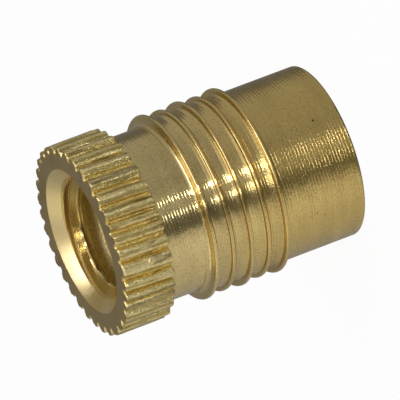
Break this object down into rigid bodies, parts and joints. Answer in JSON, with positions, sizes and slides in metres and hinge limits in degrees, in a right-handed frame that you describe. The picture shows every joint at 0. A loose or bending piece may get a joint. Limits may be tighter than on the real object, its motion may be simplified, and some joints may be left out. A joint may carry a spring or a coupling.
{
  "type": "threaded insert",
  "caption": "Turned brass threaded insert with a straight-knurled head, a plain neck, thin gripping rings, a plain tail and a female metric thread right through.",
  "frame": {"origin": "centre of the flat tail end, on the axis of the thread", "axes": "+Z along the thread and out of its mouth, through the knurled head; the insert stands on its tail end; +X through a groove of the knurl"},
  "size_m": [0.0122, 0.0122, 0.0167],
  "materials": {
    "brass": "bright turned brass with fine turning lines, a knurled head with rolled grooves and a matt front face"
  },
  "bodies": {
    "root": {"threaded_insert": "brass"}
  },
  "joints": []
}
